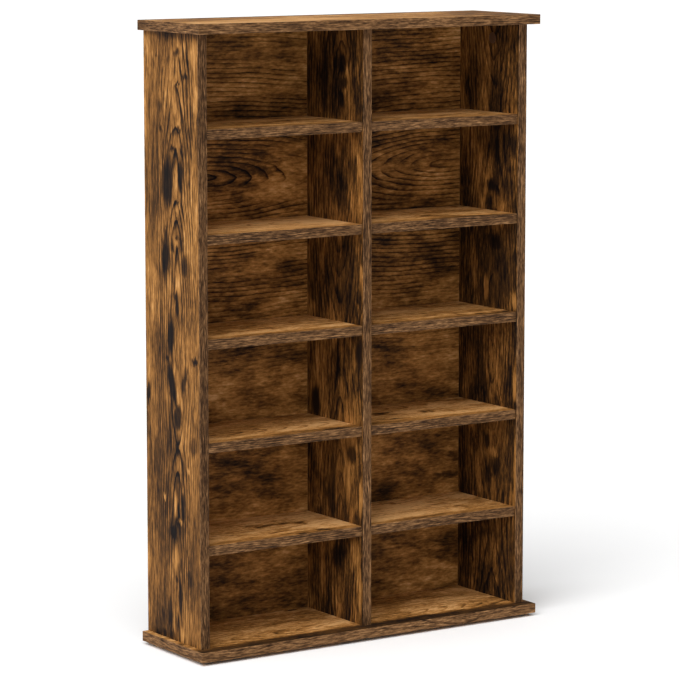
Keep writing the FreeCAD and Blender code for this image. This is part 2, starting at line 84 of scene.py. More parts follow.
class Field:
    """A number that varies over a surface: a shader output that works in Python sums."""

    def __init__(self, recipe: "Recipe", socket: Socket) -> None:
        """Keeps the recipe that the output belongs to."""
        self.recipe = recipe
        self.socket = socket

    def math(self, operation: str, *others: "Number") -> "Field":
        """The result of a Math node on this and the other operands."""
        inputs = dict(enumerate((self, *others)))
        return self.recipe.value("ShaderNodeMath", {"operation": operation}, inputs)

    def __add__(self, other: "Number") -> "Field":
        """The sum."""
        return self.math("ADD", other)

    __radd__ = __add__

    def __sub__(self, other: "Number") -> "Field":
        """The difference."""
        return self.math("SUBTRACT", other)

    def __rsub__(self, other: float) -> "Field":
        """A number less this field."""
        return self * -1.0 + other

    def __mul__(self, other: "Number") -> "Field":
        """The product."""
        return self.math("MULTIPLY", other)

    def __truediv__(self, other: "Number") -> "Field":
        """The quotient."""
        return self.math("DIVIDE", other)

    def larger(self, other: "Number") -> "Field":
        """The larger of the two."""
        return self.math("MAXIMUM", other)

    def step(self, low: float, high: float, top: float = 1.0) -> "Field":
        """Rises smoothly from zero at low to top at high; falls if low is the larger."""
        inputs = {"Value": self, "From Min": low, "From Max": high, "To Max": top}
        settings = {"interpolation_type": "SMOOTHSTEP"}
        return self.recipe.value("ShaderNodeMapRange", settings, inputs)


Number = Field | float


class Recipe:
    """The nodes of one material or world while they are being put together."""

    def __init__(self, owner: Material | bpy.types.World) -> None:
        """Starts with no nodes.

        Args:
            owner: The new material or world.
        """
        self.owner = owner
        self.owner.use_nodes = True
        self.tree = self.owner.node_tree
        self.tree.nodes.clear()

    def node(self, kind: str, settings: dict | None = None, inputs: dict | None = None) -> bpy.types.Node:
        """Makes a node: its settings first, then its inputs.

        Args:
            kind: Its type.
            settings: Its own settings, and a ramp's stops.
            inputs: Values, fields or outputs, by the socket's name or number.

        Returns:
            The node.
        """
        made = self.tree.nodes.new(kind)
        for name, setting in (settings or {}).items():
            if name == "stops":
                while len(made.color_ramp.elements) < len(setting):
                    made.color_ramp.elements.new(1.0)
                for element, (place, colour) in zip(made.color_ramp.elements, setting):
                    element.position = place
                    element.color = (*colour, 1.0)
            else:
                setattr(made, name, setting)
        for name, given in (inputs or {}).items():
            socket = made.inputs[name]
            given = given.socket if isinstance(given, Field) else given
            if isinstance(given, Socket):
                self.tree.links.new(given, socket)
            else:
                socket.default_value = given
        return made

    def value(self, kind: str, settings: dict | None = None, inputs: dict | None = None) -> Field:
        """Makes a node and returns its first output as a field."""
        return Field(self, self.node(kind, settings, inputs).outputs[0])

    def place(self) -> Socket:
        """The point on the piece, in metres."""
        return self.node("ShaderNodeTexCoord").outputs["Object"]

    def parts(self, vector: Socket) -> tuple[Field, Field, Field]:
        """The three numbers of a vector."""
        split = self.node("ShaderNodeSeparateXYZ", inputs={0: vector})
        return tuple(Field(self, output) for output in split.outputs)

    def vector(self, *numbers: Number) -> Socket:
        """A vector from three numbers."""
        return self.node("ShaderNodeCombineXYZ", inputs=dict(enumerate(numbers))).outputs[0]

    def vector_math(self, operation: str, *vectors: Socket | Triple) -> Socket:
        """Adds one Vector Math node that gives a vector."""
        inputs = dict(enumerate(vectors))
        return self.node("ShaderNodeVectorMath", {"operation": operation}, inputs).outputs[0]

    def vector_number(self, operation: str, *vectors: Socket | Triple) -> Field:
        """Adds one Vector Math node that gives a number."""
        made = self.node("ShaderNodeVectorMath", {"operation": operation}, dict(enumerate(vectors)))
        return Field(self, made.outputs["Value"])

    def cells(self, vector: Socket, scale: float = 1.0) -> tuple[Field, Field]:
        """Splits space into cells round scattered points.

        Args:
            vector: The place.
            scale: Cells in a unit of length.

        Returns:
            A number for each cell, and the distance to its point.
        """
        inputs = {"Vector": vector, "Scale": scale}
        spots = self.node("ShaderNodeTexVoronoi", {"feature": "F1"}, inputs)
        tint = self.node("ShaderNodeSeparateColor", inputs={0: spots.outputs["Color"]})
        return Field(self, tint.outputs[0]), Field(self, spots.outputs["Distance"])

    def mix(self, share: Number, first: Socket | Triple, second: Socket | Triple) -> Socket:
        """Mixes two colours, plain or linked, by the share of the second."""
        inputs = {0: share, 6: self.opaque(first), 7: self.opaque(second)}
        return self.node("ShaderNodeMix", {"data_type": "RGBA"}, inputs).outputs[2]

    def opaque(self, colour: Socket | Triple) -> Socket | tuple[float, ...]:
        """A plain colour with its alpha, or an output as it is."""
        return (*colour, 1.0) if isinstance(colour, tuple) else colour

    def ramp(self, share: Field, stops: Stops) -> Socket:
        """A colour that follows a number through stops."""
        return self.node("ShaderNodeValToRGB", {"stops": stops}, {0: share}).outputs[0]

    def curve(self, share: Field, points: tuple[Pair, ...]) -> Field:
        """A number that follows another through points, each a place and a value up to one."""
        return Field(self, self.ramp(share, tuple((place, (value,) * 3) for place, value in points)))

    def finish(
        self, colour: Socket | Triple, rough: Number, height: Field | None, depth: float, **shader: float
    ) -> Material:
        """Closes the material with its surface shader.

        Args:
            colour: Base colour.
            rough: Roughness.
            height: The relief, from zero to one, or None.
            depth: How deep the relief is.
            shader: Constants for the shader's other sockets.

        Returns:
            The finished material.
        """
        inputs = {"Base Color": self.opaque(colour), "Roughness": rough}
        if height is not None:
            bump = {"Height": height, "Distance": depth, "Strength": 1.0}
            inputs["Normal"] = self.node("ShaderNodeBump", inputs=bump).outputs[0]
        inputs.update({name.replace("_", " "): number for name, number in shader.items()})
        surface = self.node("ShaderNodeBsdfPrincipled", inputs=inputs)
        self.node("ShaderNodeOutputMaterial", inputs={0: surface.outputs[0]})
        return self.owner


class Grain(Enum):
    """Which of the row frame's axes run across, along and through a printed board.

    On the bands that turn a corner, two axes together run along the grain.
    """

    UPRIGHT = ("y", "z", "x")
    LEVEL = ("y", "x", "z")
    BACK = ("z", "x", "y")
    LEVEL_EDGE = ("z", "xy", "z")
    UPRIGHT_EDGE = ("x", "z", "y")


class Tone(Enum):
    """The tone that a mark in the print goes to, from zero for black to one for the brightest."""

    # Dark marks are scorched wood, and some of them are painted shadow; golden marks are golden wood, and
    # some of them are painted highlights.
    SCORCHED_AND_SHADE = 0.08
    GOLDEN_AND_HIGHLIGHT = 0.88


@dataclass(frozen=True)
class Camera:
    """The camera, which also tells where a point of the picture lies on a board.

    Attributes:
        eye: Where it stands.
        turned: Degrees that it looks to the right of straight back.
        tipped: Degrees that it looks down.
        focal_pixels: Its focal length, in pixels.
        picture: Width and height of the picture, in pixels.
        film: Width of its film, in millimetres.
        sight: How far it sees.
    """

    eye: Triple = (-2.7332, -4.1210, 1.1541)
    turned: float = 33.516
    tipped: float = 8.095
    focal_pixels: float = 3279.4
    picture: int = 680
    film: float = 36.0
    sight: float = 200.0

    def on_upright(self, plane: float, across: float, down: float) -> Pair:
        """Where the sight line through a point of the picture meets an upright face.

        The line is the view plus the point's distances from the picture's middle, as shares of
        the focal length, to the camera's right and upwards.

        Args:
            plane: Place of the face along X.
            across: The point's pixels from the left.
            down: Its pixels from the top.

        Returns:
            Places along Y and Z.
        """
        turned, tipped = math.radians(self.turned), math.radians(self.tipped)
        level = np.array([math.sin(turned), math.cos(turned), 0.0])
        upright = np.array([0.0, 0.0, 1.0])
        ahead = level * math.cos(tipped) - upright * math.sin(tipped)
        above = level * math.sin(tipped) + upright * math.cos(tipped)
        right = np.array([math.cos(turned), -math.sin(turned), 0.0])
        middle = self.picture / 2
        line = ahead + (right * (across - middle) + above * (middle - down)) / self.focal_pixels
        reach = (plane - self.eye[0]) / line[0]
        return self.eye[1] + line[1] * reach, self.eye[2] + line[2] * reach


CAMERA = Camera()
MARK_DEPTH = 8 * MM


@dataclass(frozen=True)
class Mark:
    """One knot, scorched patch, dark line or bright streak of an upright board's print, or a painted shadow
    or highlight laid on it.

    Its place and size are given as it shows in the picture, in pixels.

    Attributes:
        tone: Darker or brighter than the wood round it.
        across: Place of its middle, from the left.
        down: Place of its middle, from the top.
        half_width: Half of its width.
        half_height: Half of its height.
        strength: How far it goes to its tone.
        lean: How far its foot lies to the right of its middle.
    """

    tone: Tone
    across: float
    down: float
    half_width: float
    half_height: float
    strength: float
    lean: float = 0.0

    def on_board(self, face: float) -> tuple[Triple, float, Triple]:
        """The mark's place, turn and half sizes on an upright board.

        Args:
            face: Place of the board's face along X.

        Returns:
            Its middle, its turn from the grain in radians, and its half sizes, each across,
            along and through the board.
        """
        middle = np.array(CAMERA.on_upright(face, self.across, self.down))
        beside = np.array(CAMERA.on_upright(face, self.across + self.half_width, self.down))
        foot = np.array(CAMERA.on_upright(face, self.across + self.lean, self.down + self.half_height))
        axis = middle - foot
        turn = math.atan2(-axis[0], axis[1])
        sizes = (abs(beside[0] - middle[0]), float(np.linalg.norm(axis)), MARK_DEPTH)
        return (middle[0], middle[1], face), turn, sizes


@dataclass(frozen=True)
class LevelMark:
    """A mark of a level board's print, or a painted shade laid on it, given by its place on the board in
    metres.

    Attributes:
        tone: Darker or brighter than the wood round it.
        across: Place of its middle across the grain.
        along: Place of its middle along the grain.
        half_across: Half of its width.
        half_along: Half of its length.
        strength: How far it goes to its tone.
    """

    tone: Tone
    across: float
    along: float
    half_across: float
    half_along: float
    strength: float

    def on_board(self, face: float) -> tuple[Triple, float, Triple]:
        """The mark's place, turn and half sizes, as an upright board's mark gives them."""
        return (self.across, self.along, face), 0.0, (self.half_across, self.half_along, MARK_DEPTH)


def marks(tone: Tone, *rows: tuple[float, ...]) -> tuple[Mark, ...]:
    """Marks of one tone, from rows of the numbers that a mark takes, in its own order."""
    return tuple(Mark(tone, *row) for row in rows)


@dataclass(frozen=True)
class Growth:
    """The tree behind a print: rings round a heart that runs under the face and rises and dips.

    Attributes:
        heart: Place of the heart across the grain.
        depth: Mean depth of the heart under the face.
        swing: How far the heart rises and dips.
        period: Length of one rise and dip, along the grain.
        crest: Where along the grain the arches point up most.
        ring: Width of a ring.
        tips: Places along the grain, each with the rings by which the heart lies deeper there than
            at the one before. Where there are tips, they stand for the rise and dip.
    """

    heart: float
    depth: float = 26 * MM
    swing: float = 20 * MM
    period: float = 620 * MM
    crest: float = 765 * MM
    ring: float = 6.8 * MM
    tips: tuple[Pair, ...] = ()

    def dive(self, recipe: Recipe, along: Field) -> Field:
        """The heart's depth along the grain.

        Args:
            recipe: The material.
            along: Place along the grain.

        Returns:
            A sine of the place, or a line from tip to tip.
        """
        if not self.tips:
            turn = (along - self.crest) * (math.tau / self.period)
            return turn.math("SINE") * self.swing + self.depth
        places = np.array([place for place, _ in self.tips])
        depths = np.cumsum([rise for _, rise in self.tips])
        length, dip = float(np.ptp(places)), float(np.ptp(depths))
        shares = (places - places[0]) / length
        levels = (depths - depths.min()) / dip
        points = tuple(zip(shares.tolist(), levels.tolist()))
        line = recipe.curve((along - float(places[0])) / length, points)
        return line * (dip * self.ring) + self.depth


@dataclass(frozen=True)
class Layer:
    """One layer of noise.

    Attributes:
        waves: Waves for each metre across, along and through the board.
        detail: How many finer layers it has.
        rough: How strong the finer layers are.
        swing: How far it moves what it is added to.
    """

    waves: Triple
    detail: float
    rough: float = 0.5
    swing: float = 1.0

    def noise(self, recipe: Recipe, place: Socket) -> Field:
        """The layer at a place, from zero to one.

        Args:
            recipe: The material.
            place: The place.

        Returns:
            The noise.
        """
        scaled = recipe.vector_math("MULTIPLY", place, self.waves)
        inputs = {"Vector": scaled, "Scale": 1.0, "Detail": self.detail, "Roughness": self.rough}
        return recipe.value("ShaderNodeTexNoise", inputs=inputs)

    def moved(self, noise: Field) -> Field:
        """What the layer adds, half of its swing to either side."""
        return (noise - 0.5) * self.swing


@dataclass(frozen=True)
class Sheet:
    """The printed paper of one board while its material is put together.

    Attributes:
        recipe: The material.
        axes: The place along the row frame's axes.
        parts: The place across, along and through the board.
        place: The same as a vector.
        seeded: The same, moved by the board's seed.
    """

    recipe: Recipe
    axes: dict[str, Field]
    parts: tuple[Field, ...]
    place: Socket
    seeded: Socket

    def noise(self, layer: Layer) -> Field:
        """A layer of the board's own noise, from zero to one."""
        return layer.noise(self.recipe, self.seeded)

    def ragged(self, place: Socket, layer: Layer, reach: Pair) -> Socket:
        """Moves a place by noise, so that what is drawn there has ragged edges.

        Args:
            place: The place.
            layer: The noise.
            reach: How far it moves the place, across and along the grain.

        Returns:
            The moved place.
        """
        noise = self.noise(layer) - 0.5
        shift = self.recipe.vector(noise * reach[0], noise * reach[1], 0.0)
        return self.recipe.vector_math("ADD", place, shift)


@dataclass(frozen=True)
class Figure:
    """The layers of a print of smoked oak that vary from board to board.

    Attributes:
        patch: Broad light and dark patches.
        streak: Streaks along the grain.
        fibre: Fine fibres.
        char_strength: How far a scorched patch goes to its tone.
        ring_dark: How much darker the rings' edges are.
        ring_wave: How far the rings waver.
        ring_reach: Distances beside the heart at which the rings have faded and begin to fade.
        knot_share: Share of the knot cells that hold no knot.
    """

    patch: Layer = Layer((24, 7, 40), 3, 0.62, 1.15)
    streak: Layer = Layer((200, 30, 80), 5, 0.68, 1.20)
    fibre: Layer = Layer((430, 120, 160), 3, 0.65, 1.15)
    char_strength: float = 0.85
    ring_dark: float = 0.42
    ring_wave: float = 6 * MM
    ring_reach: Pair = (2.0, 1.0)
    knot_share: float = 0.52


# A span holds the two values at which a smooth step is none and full.
# Scorched patches
CHAR = Layer((21, 9, 30), 6, 0.68)
CHAR_SPAN = (0.585, 0.70)
CHAR_TONE = 0.08
# Growth rings, with the darkness through one by the share of its width
RING_BEND = Layer((9, 3.2, 30), 2, swing=24 * MM)
RING_WAVE = Layer((70, 12, 60), 3)
RING_PROFILE = ((0.0, 0.0), (0.50, 0.0), (0.78, 0.4), (0.92, 1.0), (1.0, 0.0))
RING_SHOWS = Layer((34, 6, 40), 2)
RING_SHOWS_SPAN = (0.30, 0.58)
# Knots, one in a cell at most, with the golden wood round them and the rings that they push aside
KNOT_EDGE = Layer((90, 24, 60), 3, 0.65)
KNOT_RAGGED = (10 * MM, 30 * MM)
KNOT_CELLS = (11.0, 5.0, 9.0)
KNOT_CORE_SPAN = (0.17, 0.06)
KNOT_HALO_SPAN = (0.42, 0.14)
KNOT_PICK_WIDTH = 0.02
KNOT_GOLD = 0.08
KNOT_BEND = 7 * MM
# Marks, whose span counts in half sizes, and the share of the print's own swing that they keep
MARK_EDGE = Layer((230, 30, 60), 4, 0.7)
MARK_RAGGED = (14 * MM, 34 * MM)
MARK_SPAN = (1.40, 0.55)
MARK_GRAIN = 0.35
# The paper, and the distances from its marked face at which the far face's own lightness sets in, without
# the painted shade that an inner board's marked face is printed with
SEED_SHARES = (1.0, 1.7, 0.6)
PAPER_ROUGH = 0.66
PAPER_ROUGH_FALL = 0.12
PAPER_RELIEF = 0.08 * MM
FAR_UNSHADE_SPAN = (9 * MM, 13 * MM)
# Bare chipboard, with its distances from the rear edge
CHIP_CELLS = 420.0
CHIP_SPAN = (0.25 * MM, 0.10 * MM)
# The bands' worn edges and glue, with their distances from the band's and the board's edge
WORN = printed(158, 122, 84)
WORN_SPAN = (0.9 * MM, 0.1 * MM)
WORN_FIBRE_SPAN = (0.35, 0.65)
WORN_SHARE = 0.3
GLUE = printed(48, 34, 24)
GLUE_SPAN = (0.16 * MM, 0.06 * MM)
# Bare hardboard
PULP = Layer((260, 260, 260), 5, 0.7)
PULP_SHADES = (printed(124, 88, 56), printed(98, 68, 44))
PULP_START = 0.1 * MM
# Plain finishes, whose waves follow from the size of their mottling
MOTTLING = Layer((1, 1, 1), 3, 0.6, 0.2)
MOTTLE_SPAN = (0.3, 0.7)
SMOKED_OAK = (
    (0.0, printed(13, 10, 10)),
    (0.14, printed(36, 23, 14)),
    (0.32, printed(74, 48, 22)),
    (0.5, printed(116, 77, 36)),
    (0.68, printed(153, 106, 54)),
    (0.84, printed(184, 133, 76)),
    (1.0, printed(212, 164, 108)),
)
BAND_OAK = (
    (0.0, printed(38, 24, 14)),
    (0.25, printed(66, 44, 26)),
    (0.5, printed(99, 70, 43)),
    (0.75, printed(133, 97, 63)),
    (1.0, printed(168, 127, 85)),
)
CHIPS = (
    (0.0, printed(120, 92, 60)),
    (0.5, printed(160, 130, 92)),
    (1.0, printed(190, 162, 122)),
)


@dataclass(frozen=True)
class PrintedOak:
    """Smoked oak, printed on paper with a fine relief.

    Attributes:
        name: The material's name.
        grain: Which way the grain runs.
        growth: The rings.
        seed: The board's own number, which moves all its noise.
        face: Place of the marked face.
        marks: The marks on it.
        shades: The colours, from dark to bright.
        figure: The layers of the print.
        lightness: Middle of the tones.
        contrast: How far the tones spread.
        gloss: The paper's gloss.
        far_unshade_lift: How much lighter the far face is, without the painted shade of the marked face.
    """

    name: str
    grain: Grain
    growth: Growth
    seed: float
    face: float = 0.0
    marks: tuple[Mark | LevelMark, ...] = ()
    shades: Stops = SMOKED_OAK
    figure: Figure = Figure()
    lightness: float = 0.56
    contrast: float = 1.0
    gloss: float = 0.07
    far_unshade_lift: float = 0.0

    def make(self) -> Material:
        """Builds the material.

        Returns:
            The finished material.
        """
        figure = self.figure
        sheet = self.sheet()
        knot, halo = self.knots(sheet)
        rings = self.rings(sheet, halo)
        fibre = sheet.noise(figure.fibre)
        streak = sheet.noise(figure.streak)
        patch = sheet.noise(figure.patch)
        tone = figure.patch.moved(patch) + figure.streak.moved(streak) + figure.fibre.moved(fibre)
        tone = tone - rings * figure.ring_dark + halo * KNOT_GOLD
        tone = tone * self.contrast + self.lightness
        char = sheet.noise(CHAR).step(*CHAR_SPAN, figure.char_strength)
        tone = tone + (CHAR_TONE - tone) * char.larger(knot)
        tone = self.marked(sheet, tone)
        # The far face loses the painted shade that the marked face is printed with.
        if self.far_unshade_lift:
            away = (sheet.parts[2] - self.face).math("ABSOLUTE")
            tone = tone + away.step(*FAR_UNSHADE_SPAN, self.far_unshade_lift)
        colour = self.detail(sheet, sheet.recipe.ramp(tone, self.shades), fibre)
        rough = PAPER_ROUGH - tone * PAPER_ROUGH_FALL
        relief = fibre + streak
        return sheet.recipe.finish(colour, rough, relief, PAPER_RELIEF, Specular_IOR_Level=self.gloss)

    def sheet(self) -> Sheet:
        """Starts the material with the places that its print reads.

        Returns:
            The paper, still without its print.
        """
        recipe = Recipe(bpy.data.materials.new(self.name))
        axes = dict(zip("xyz", recipe.parts(recipe.place())))
        parts = tuple(sum((axes[other] for other in more), axes[first]) for first, *more in self.grain.value)
        place = recipe.vector(*parts)
        shift = tuple(self.seed * share for share in SEED_SHARES)
        return Sheet(recipe, axes, parts, place, recipe.vector_math("ADD", place, shift))

    def detail(self, sheet: Sheet, colour: Socket, fibre: Field) -> Socket:
        """What a kind of board adds to its print: nothing here."""
        return colour

    def knots(self, sheet: Sheet) -> tuple[Field, Field]:
        """Knots: in cells drawn long along the grain, the distance to each cell's own point.

        Args:
            sheet: The paper.

        Returns:
            The knots' cores and the golden wood round them, each from zero to one.
        """
        moved = sheet.ragged(sheet.seeded, KNOT_EDGE, KNOT_RAGGED)
        pick, far = sheet.recipe.cells(sheet.recipe.vector_math("MULTIPLY", moved, KNOT_CELLS))
        held = pick.step(self.figure.knot_share, self.figure.knot_share + KNOT_PICK_WIDTH)
        return far.step(*KNOT_CORE_SPAN) * held, far.step(*KNOT_HALO_SPAN) * held

    def rings(self, sheet: Sheet, halo: Field) -> Field:
        """The growth rings, one at each ring's dark edge.

        The distance to the heart is the root of the squares of the heart's depth and of the place
        across, bent by soft noise and by knots. Its remainder by the ring's width, through a
        curve, is the dark edge.

        Args:
            sheet: The paper.
            halo: Where knots push the rings aside.

        Returns:
            Zero to one.
        """
        across, along, _ = sheet.parts
        depth = self.growth.dive(sheet.recipe, along)
        aside = across - self.growth.heart + RING_BEND.moved(sheet.noise(RING_BEND))
        reach = (aside * aside + depth * depth).math("SQRT")
        wave = (sheet.noise(RING_WAVE) - 0.5) * self.figure.ring_wave
        count = (reach + wave + halo * KNOT_BEND) / self.growth.ring
        edge = sheet.recipe.curve(count.math("FRACT"), RING_PROFILE)
        strength = sheet.noise(RING_SHOWS).step(*RING_SHOWS_SPAN)
        near = aside.math("ABSOLUTE").step(*self.figure.ring_reach)
        return edge * strength * near

    def marked(self, sheet: Sheet, tone: Field) -> Field:
        """Draws the marks over the tone.

        Each mark is an ellipse with ragged edges: the length of the place in the mark's own frame,
        moved by noise, falls smoothly from its middle to its rim.

        Args:
            sheet: The paper.
            tone: The tone so far.

        Returns:
            The tone with the marks.
        """
        if not self.marks:
            return tone
        moved = sheet.ragged(sheet.place, MARK_EDGE, MARK_RAGGED)
        for side in Tone:
            cover: Number = 0.0
            for mark in self.marks:
                if mark.tone is side:
                    cover = self.spot(sheet, moved, mark).larger(cover)
            if isinstance(cover, Field):
                aim = (tone - self.lightness) * MARK_GRAIN + side.value
                tone = tone + (aim - tone) * cover
        return tone

    def spot(self, sheet: Sheet, place: Socket, mark: Mark | LevelMark) -> Field:
        """How strongly one mark covers the print.

        Args:
            sheet: The paper.
            place: The ragged place.
            mark: The mark.

        Returns:
            Zero to the mark's strength.
        """
        middle, turn, sizes = mark.on_board(self.face)
        inputs = {"Vector": place, "Location": middle, "Rotation": (0.0, 0.0, turn), "Scale": sizes}
        own = sheet.recipe.node("ShaderNodeMapping", {"vector_type": "TEXTURE"}, inputs)
        far = sheet.recipe.vector_number("LENGTH", own.outputs[0])
        return far.step(*MARK_SPAN, mark.strength)


class BoardOak(PrintedOak):
    """A board's print, with the bare chipboard on its rear edge."""

    def detail(self, sheet: Sheet, colour: Socket, fibre: Field) -> Socket:
        """Shows chips of wood where the rear edge has no paper and no band.

        Args:
            sheet: The paper.
            colour: The print.
            fibre: The print's fibres; not used here.

        Returns:
            The print with the bare edge.
        """
        recipe = sheet.recipe
        tint, _ = recipe.cells(recipe.place(), CHIP_CELLS)
        bare = recipe.ramp(tint, CHIPS)
        edge = sheet.axes["y"].step(*(REAR - distance for distance in CHIP_SPAN))
        return recipe.mix(edge, colour, bare)


@dataclass(frozen=True)
class BandOak(PrintedOak):
    """An edge band's print, with worn edges and the line of glue behind it.

    Attributes:
        middle: Place of the band's middle across the grain.
        pitch: Distance from a band to the next.
        half: Half of the band's width.
        core_front: Place of the board's front edge.
        core_half: Half of the board's length, for a band that turns a corner.
    """

    middle: float = 0.0
    pitch: float = 4.0
    half: float = 7.5 * MM
    core_front: float = 0.0
    core_half: float = 4.0

    def detail(self, sheet: Sheet, colour: Socket, fibre: Field) -> Socket:
        """Lightens the band's long edges and darkens its joint with the board.

        The distance from the band's middle runs to and fro over the pitch, so it serves all bands
        of a node.

        Args:
            sheet: The paper.
            colour: The print.
            fibre: The print's fibres.

        Returns:
            The print with its edges.
        """
        away = (sheet.axes[self.grain.value[0]] - self.middle).math("PINGPONG", self.pitch / 2)
        rubbed = away.step(*(self.half - distance for distance in WORN_SPAN))
        rubbed = rubbed * fibre.step(*WORN_FIBRE_SPAN)
        colour = sheet.recipe.mix(rubbed * WORN_SHARE, colour, WORN)
        behind = sheet.axes["y"].step(*(self.core_front - distance for distance in GLUE_SPAN))
        aside = sheet.axes["x"].math("ABSOLUTE")
        aside = aside.step(*(self.core_half + distance for distance in GLUE_SPAN))
        return sheet.recipe.mix(behind * aside, colour, GLUE)


@dataclass(frozen=True)
class BackOak(PrintedOak):
    """The back panel's print on its front, and plain hardboard behind.

    Attributes:
        middle: Place of the middle of the panel's thickness.
    """

    middle: float = 0.0

    def detail(self, sheet: Sheet, colour: Socket, fibre: Field) -> Socket:
        """Leaves the rear half of the thickness without the print.

        Args:
            sheet: The paper.
            colour: The print.
            fibre: The print's fibres; not used here.

        Returns:
            The colour of both faces.
        """
        recipe = sheet.recipe
        plain = recipe.mix(PULP.noise(recipe, recipe.place()).step(*MOTTLE_SPAN), *PULP_SHADES)
        behind = sheet.axes["y"].step(self.middle - PULP_START, self.middle + PULP_START)
        return recipe.mix(behind, colour, plain)


@dataclass(frozen=True)
class PlainFinish:
    """A finish of one colour with fine mottling of its own, for fittings.

    Attributes:
        name: The material's name.
        colour: Main colour.
        second: Colour that it is mottled with.
        size: Size of the mottling.
        relief: Depth of its relief.
        rough: Roughness.
        metal: How metallic it is.
    """

    name: str
    colour: Triple
    second: Triple
    size: float
    relief: float
    rough: float
    metal: float = 0.0

    def make(self) -> Material:
        """Builds the material.

        Returns:
            The finished material.
        """
        recipe = Recipe(bpy.data.materials.new(self.name))
        layer = replace(MOTTLING, waves=(1.0 / self.size,) * 3)
        mottling = layer.noise(recipe, recipe.place())
        colour = recipe.mix(mottling.step(*MOTTLE_SPAN), self.colour, self.second)
        rough = self.rough + layer.moved(mottling)
        return recipe.finish(colour, rough, mottling, self.relief, Metallic=self.metal)


ZINC = PlainFinish(
    "zinc_casting", printed(170, 172, 174), printed(138, 140, 143), 0.6 * MM, 0.03 * MM, 0.42, metal=1.0
)
STEEL = PlainFinish(
    "plated_steel", printed(188, 188, 184), printed(160, 160, 156), 0.4 * MM, 0.01 * MM, 0.30, metal=1.0
)
BEECH = PlainFinish("beech", printed(214, 180, 134), printed(190, 150, 104), 0.8 * MM, 0.05 * MM, 0.62)
BROWN = PlainFinish("brown_plastic", printed(84, 56, 36), printed(66, 43, 28), 0.5 * MM, 0.02 * MM, 0.5)
GREY = PlainFinish("grey_plastic", printed(84, 88, 82), printed(66, 70, 66), 0.7 * MM, 0.04 * MM, 0.55)


def box_middle(name: str, axis: str) -> float:
    """The middle of a node's box along one axis."""
    return sum(getattr(corner, axis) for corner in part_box(name)) / 2


def dress(node: str, material: Material) -> None:
    """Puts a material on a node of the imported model.

    Args:
        node: The node's name.
        material: Its finish.
    """
    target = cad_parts[node]
    target.data.materials.clear()
    target.data.materials.append(material)
    LOG.info("dressed %s in %s", node, material.name)


DARK = Tone.SCORCHED_AND_SHADE
GOLD = Tone.GOLDEN_AND_HIGHLIGHT
LEFT_MARKS = marks(
    DARK,
    (177, 51.8, 1.6, 5, 0.9), (180, 68.3, 0.9, 9, 0.8, 1), (174.6, 68.3, 0.8, 9, 0.7),
    (187.4, 64.2, 1, 13, 0.85, 1.5), (184.8, 77.1, 2.6, 3.6, 0.85), (156.4, 56.9, 1.2, 1.8, 0.8),
    (152.7, 63.1, 2, 5.5, 0.6), (177.5, 83.8, 2.4, 2.2, 0.85), (181.7, 114.8, 1, 14, 0.85, 2),
    (160.5, 128.2, 1.4, 3, 0.8, 1), (178.6, 130, 2.4, 3.5, 0.8), (172.1, 148.9, 2.8, 2.6, 0.8),
    (181.7, 155.1, 1.2, 6, 0.75, 1.2), (167, 181, 5.2, 24, 1), (180.5, 177, 2.8, 16, 0.9),
    (177, 202, 2.2, 1.4, 0.8), (182.2, 210.8, 0.9, 7, 0.8, 1), (177.9, 220.1, 1.5, 2.2, 0.8),
    (177, 237.7, 2.2, 1.8, 0.8), (172.1, 247, 1.6, 5, 0.7), (181.2, 243, 1.6, 6, 0.6),
    (165.7, 257.4, 4, 19, 1), (166.2, 236.7, 1.3, 9, 0.8), (184.2, 266, 3.2, 10, 0.58),
    (176.7, 305.9, 1.6, 14, 1), (170.9, 337, 3.4, 20, 1), (167.2, 357.6, 2.2, 4, 0.9),
    (195.1, 362.2, 2.8, 4, 1), (172, 383, 3.3, 24, 1, 4.2), (184.8, 381, 1.9, 14, 0.7, -3),
    (178.2, 417.5, 4.2, 13, 1), (148.9, 391.7, 1.6, 12, 1), (177.2, 450.5, 1.8, 7, 0.9),
    (157, 455, 4.5, 26, 0.45), (193.8, 447, 4, 11, 0.6), (183.2, 474, 1.6, 14, 0.6),
    (183.2, 508.4, 2.2, 14, 0.8), (173.4, 532.2, 3.6, 8, 0.95), (177, 579.7, 1.2, 4, 0.8),
    (181.2, 567, 1.4, 9, 0.7), (189.4, 579.7, 2.2, 10, 0.75), (180.6, 598.3, 2.2, 18, 0.9),
    (170.3, 611, 2.6, 16, 0.8), (172.4, 634.5, 3, 6, 0.8), (157.9, 631.4, 2.2, 3, 0.9),
    (164.6, 632.4, 2.2, 5, 0.8), (176, 520, 40, 190, 0.24), (196, 545, 8, 110, 0.35),
    # The mark at 175 across and 31 down, along the top, is a painted shadow under the top panel's overhang.
    (153, 150, 7, 130, 0.32), (175, 31, 40, 9, 0.5),
) + marks(
    GOLD,
    (193.5, 54, 2.5, 16, 0.6), (196.1, 105, 1.2, 16, 0.7), (177.5, 208.8, 2.5, 4, 0.6),
    (176.5, 244.4, 1.6, 3.2, 0.7), (165, 414, 5, 34, 0.4), (195.1, 416.4, 1.6, 7, 0.55),
    (188.4, 471.2, 1, 3.5, 1), (165.1, 496, 1.1, 4, 1), (176, 506, 2, 13, 0.85),
    (180.6, 521.9, 1.8, 2.4, 0.8), (176, 559, 2.8, 14, 0.5), (182.7, 637.6, 2, 9, 0.75),
)
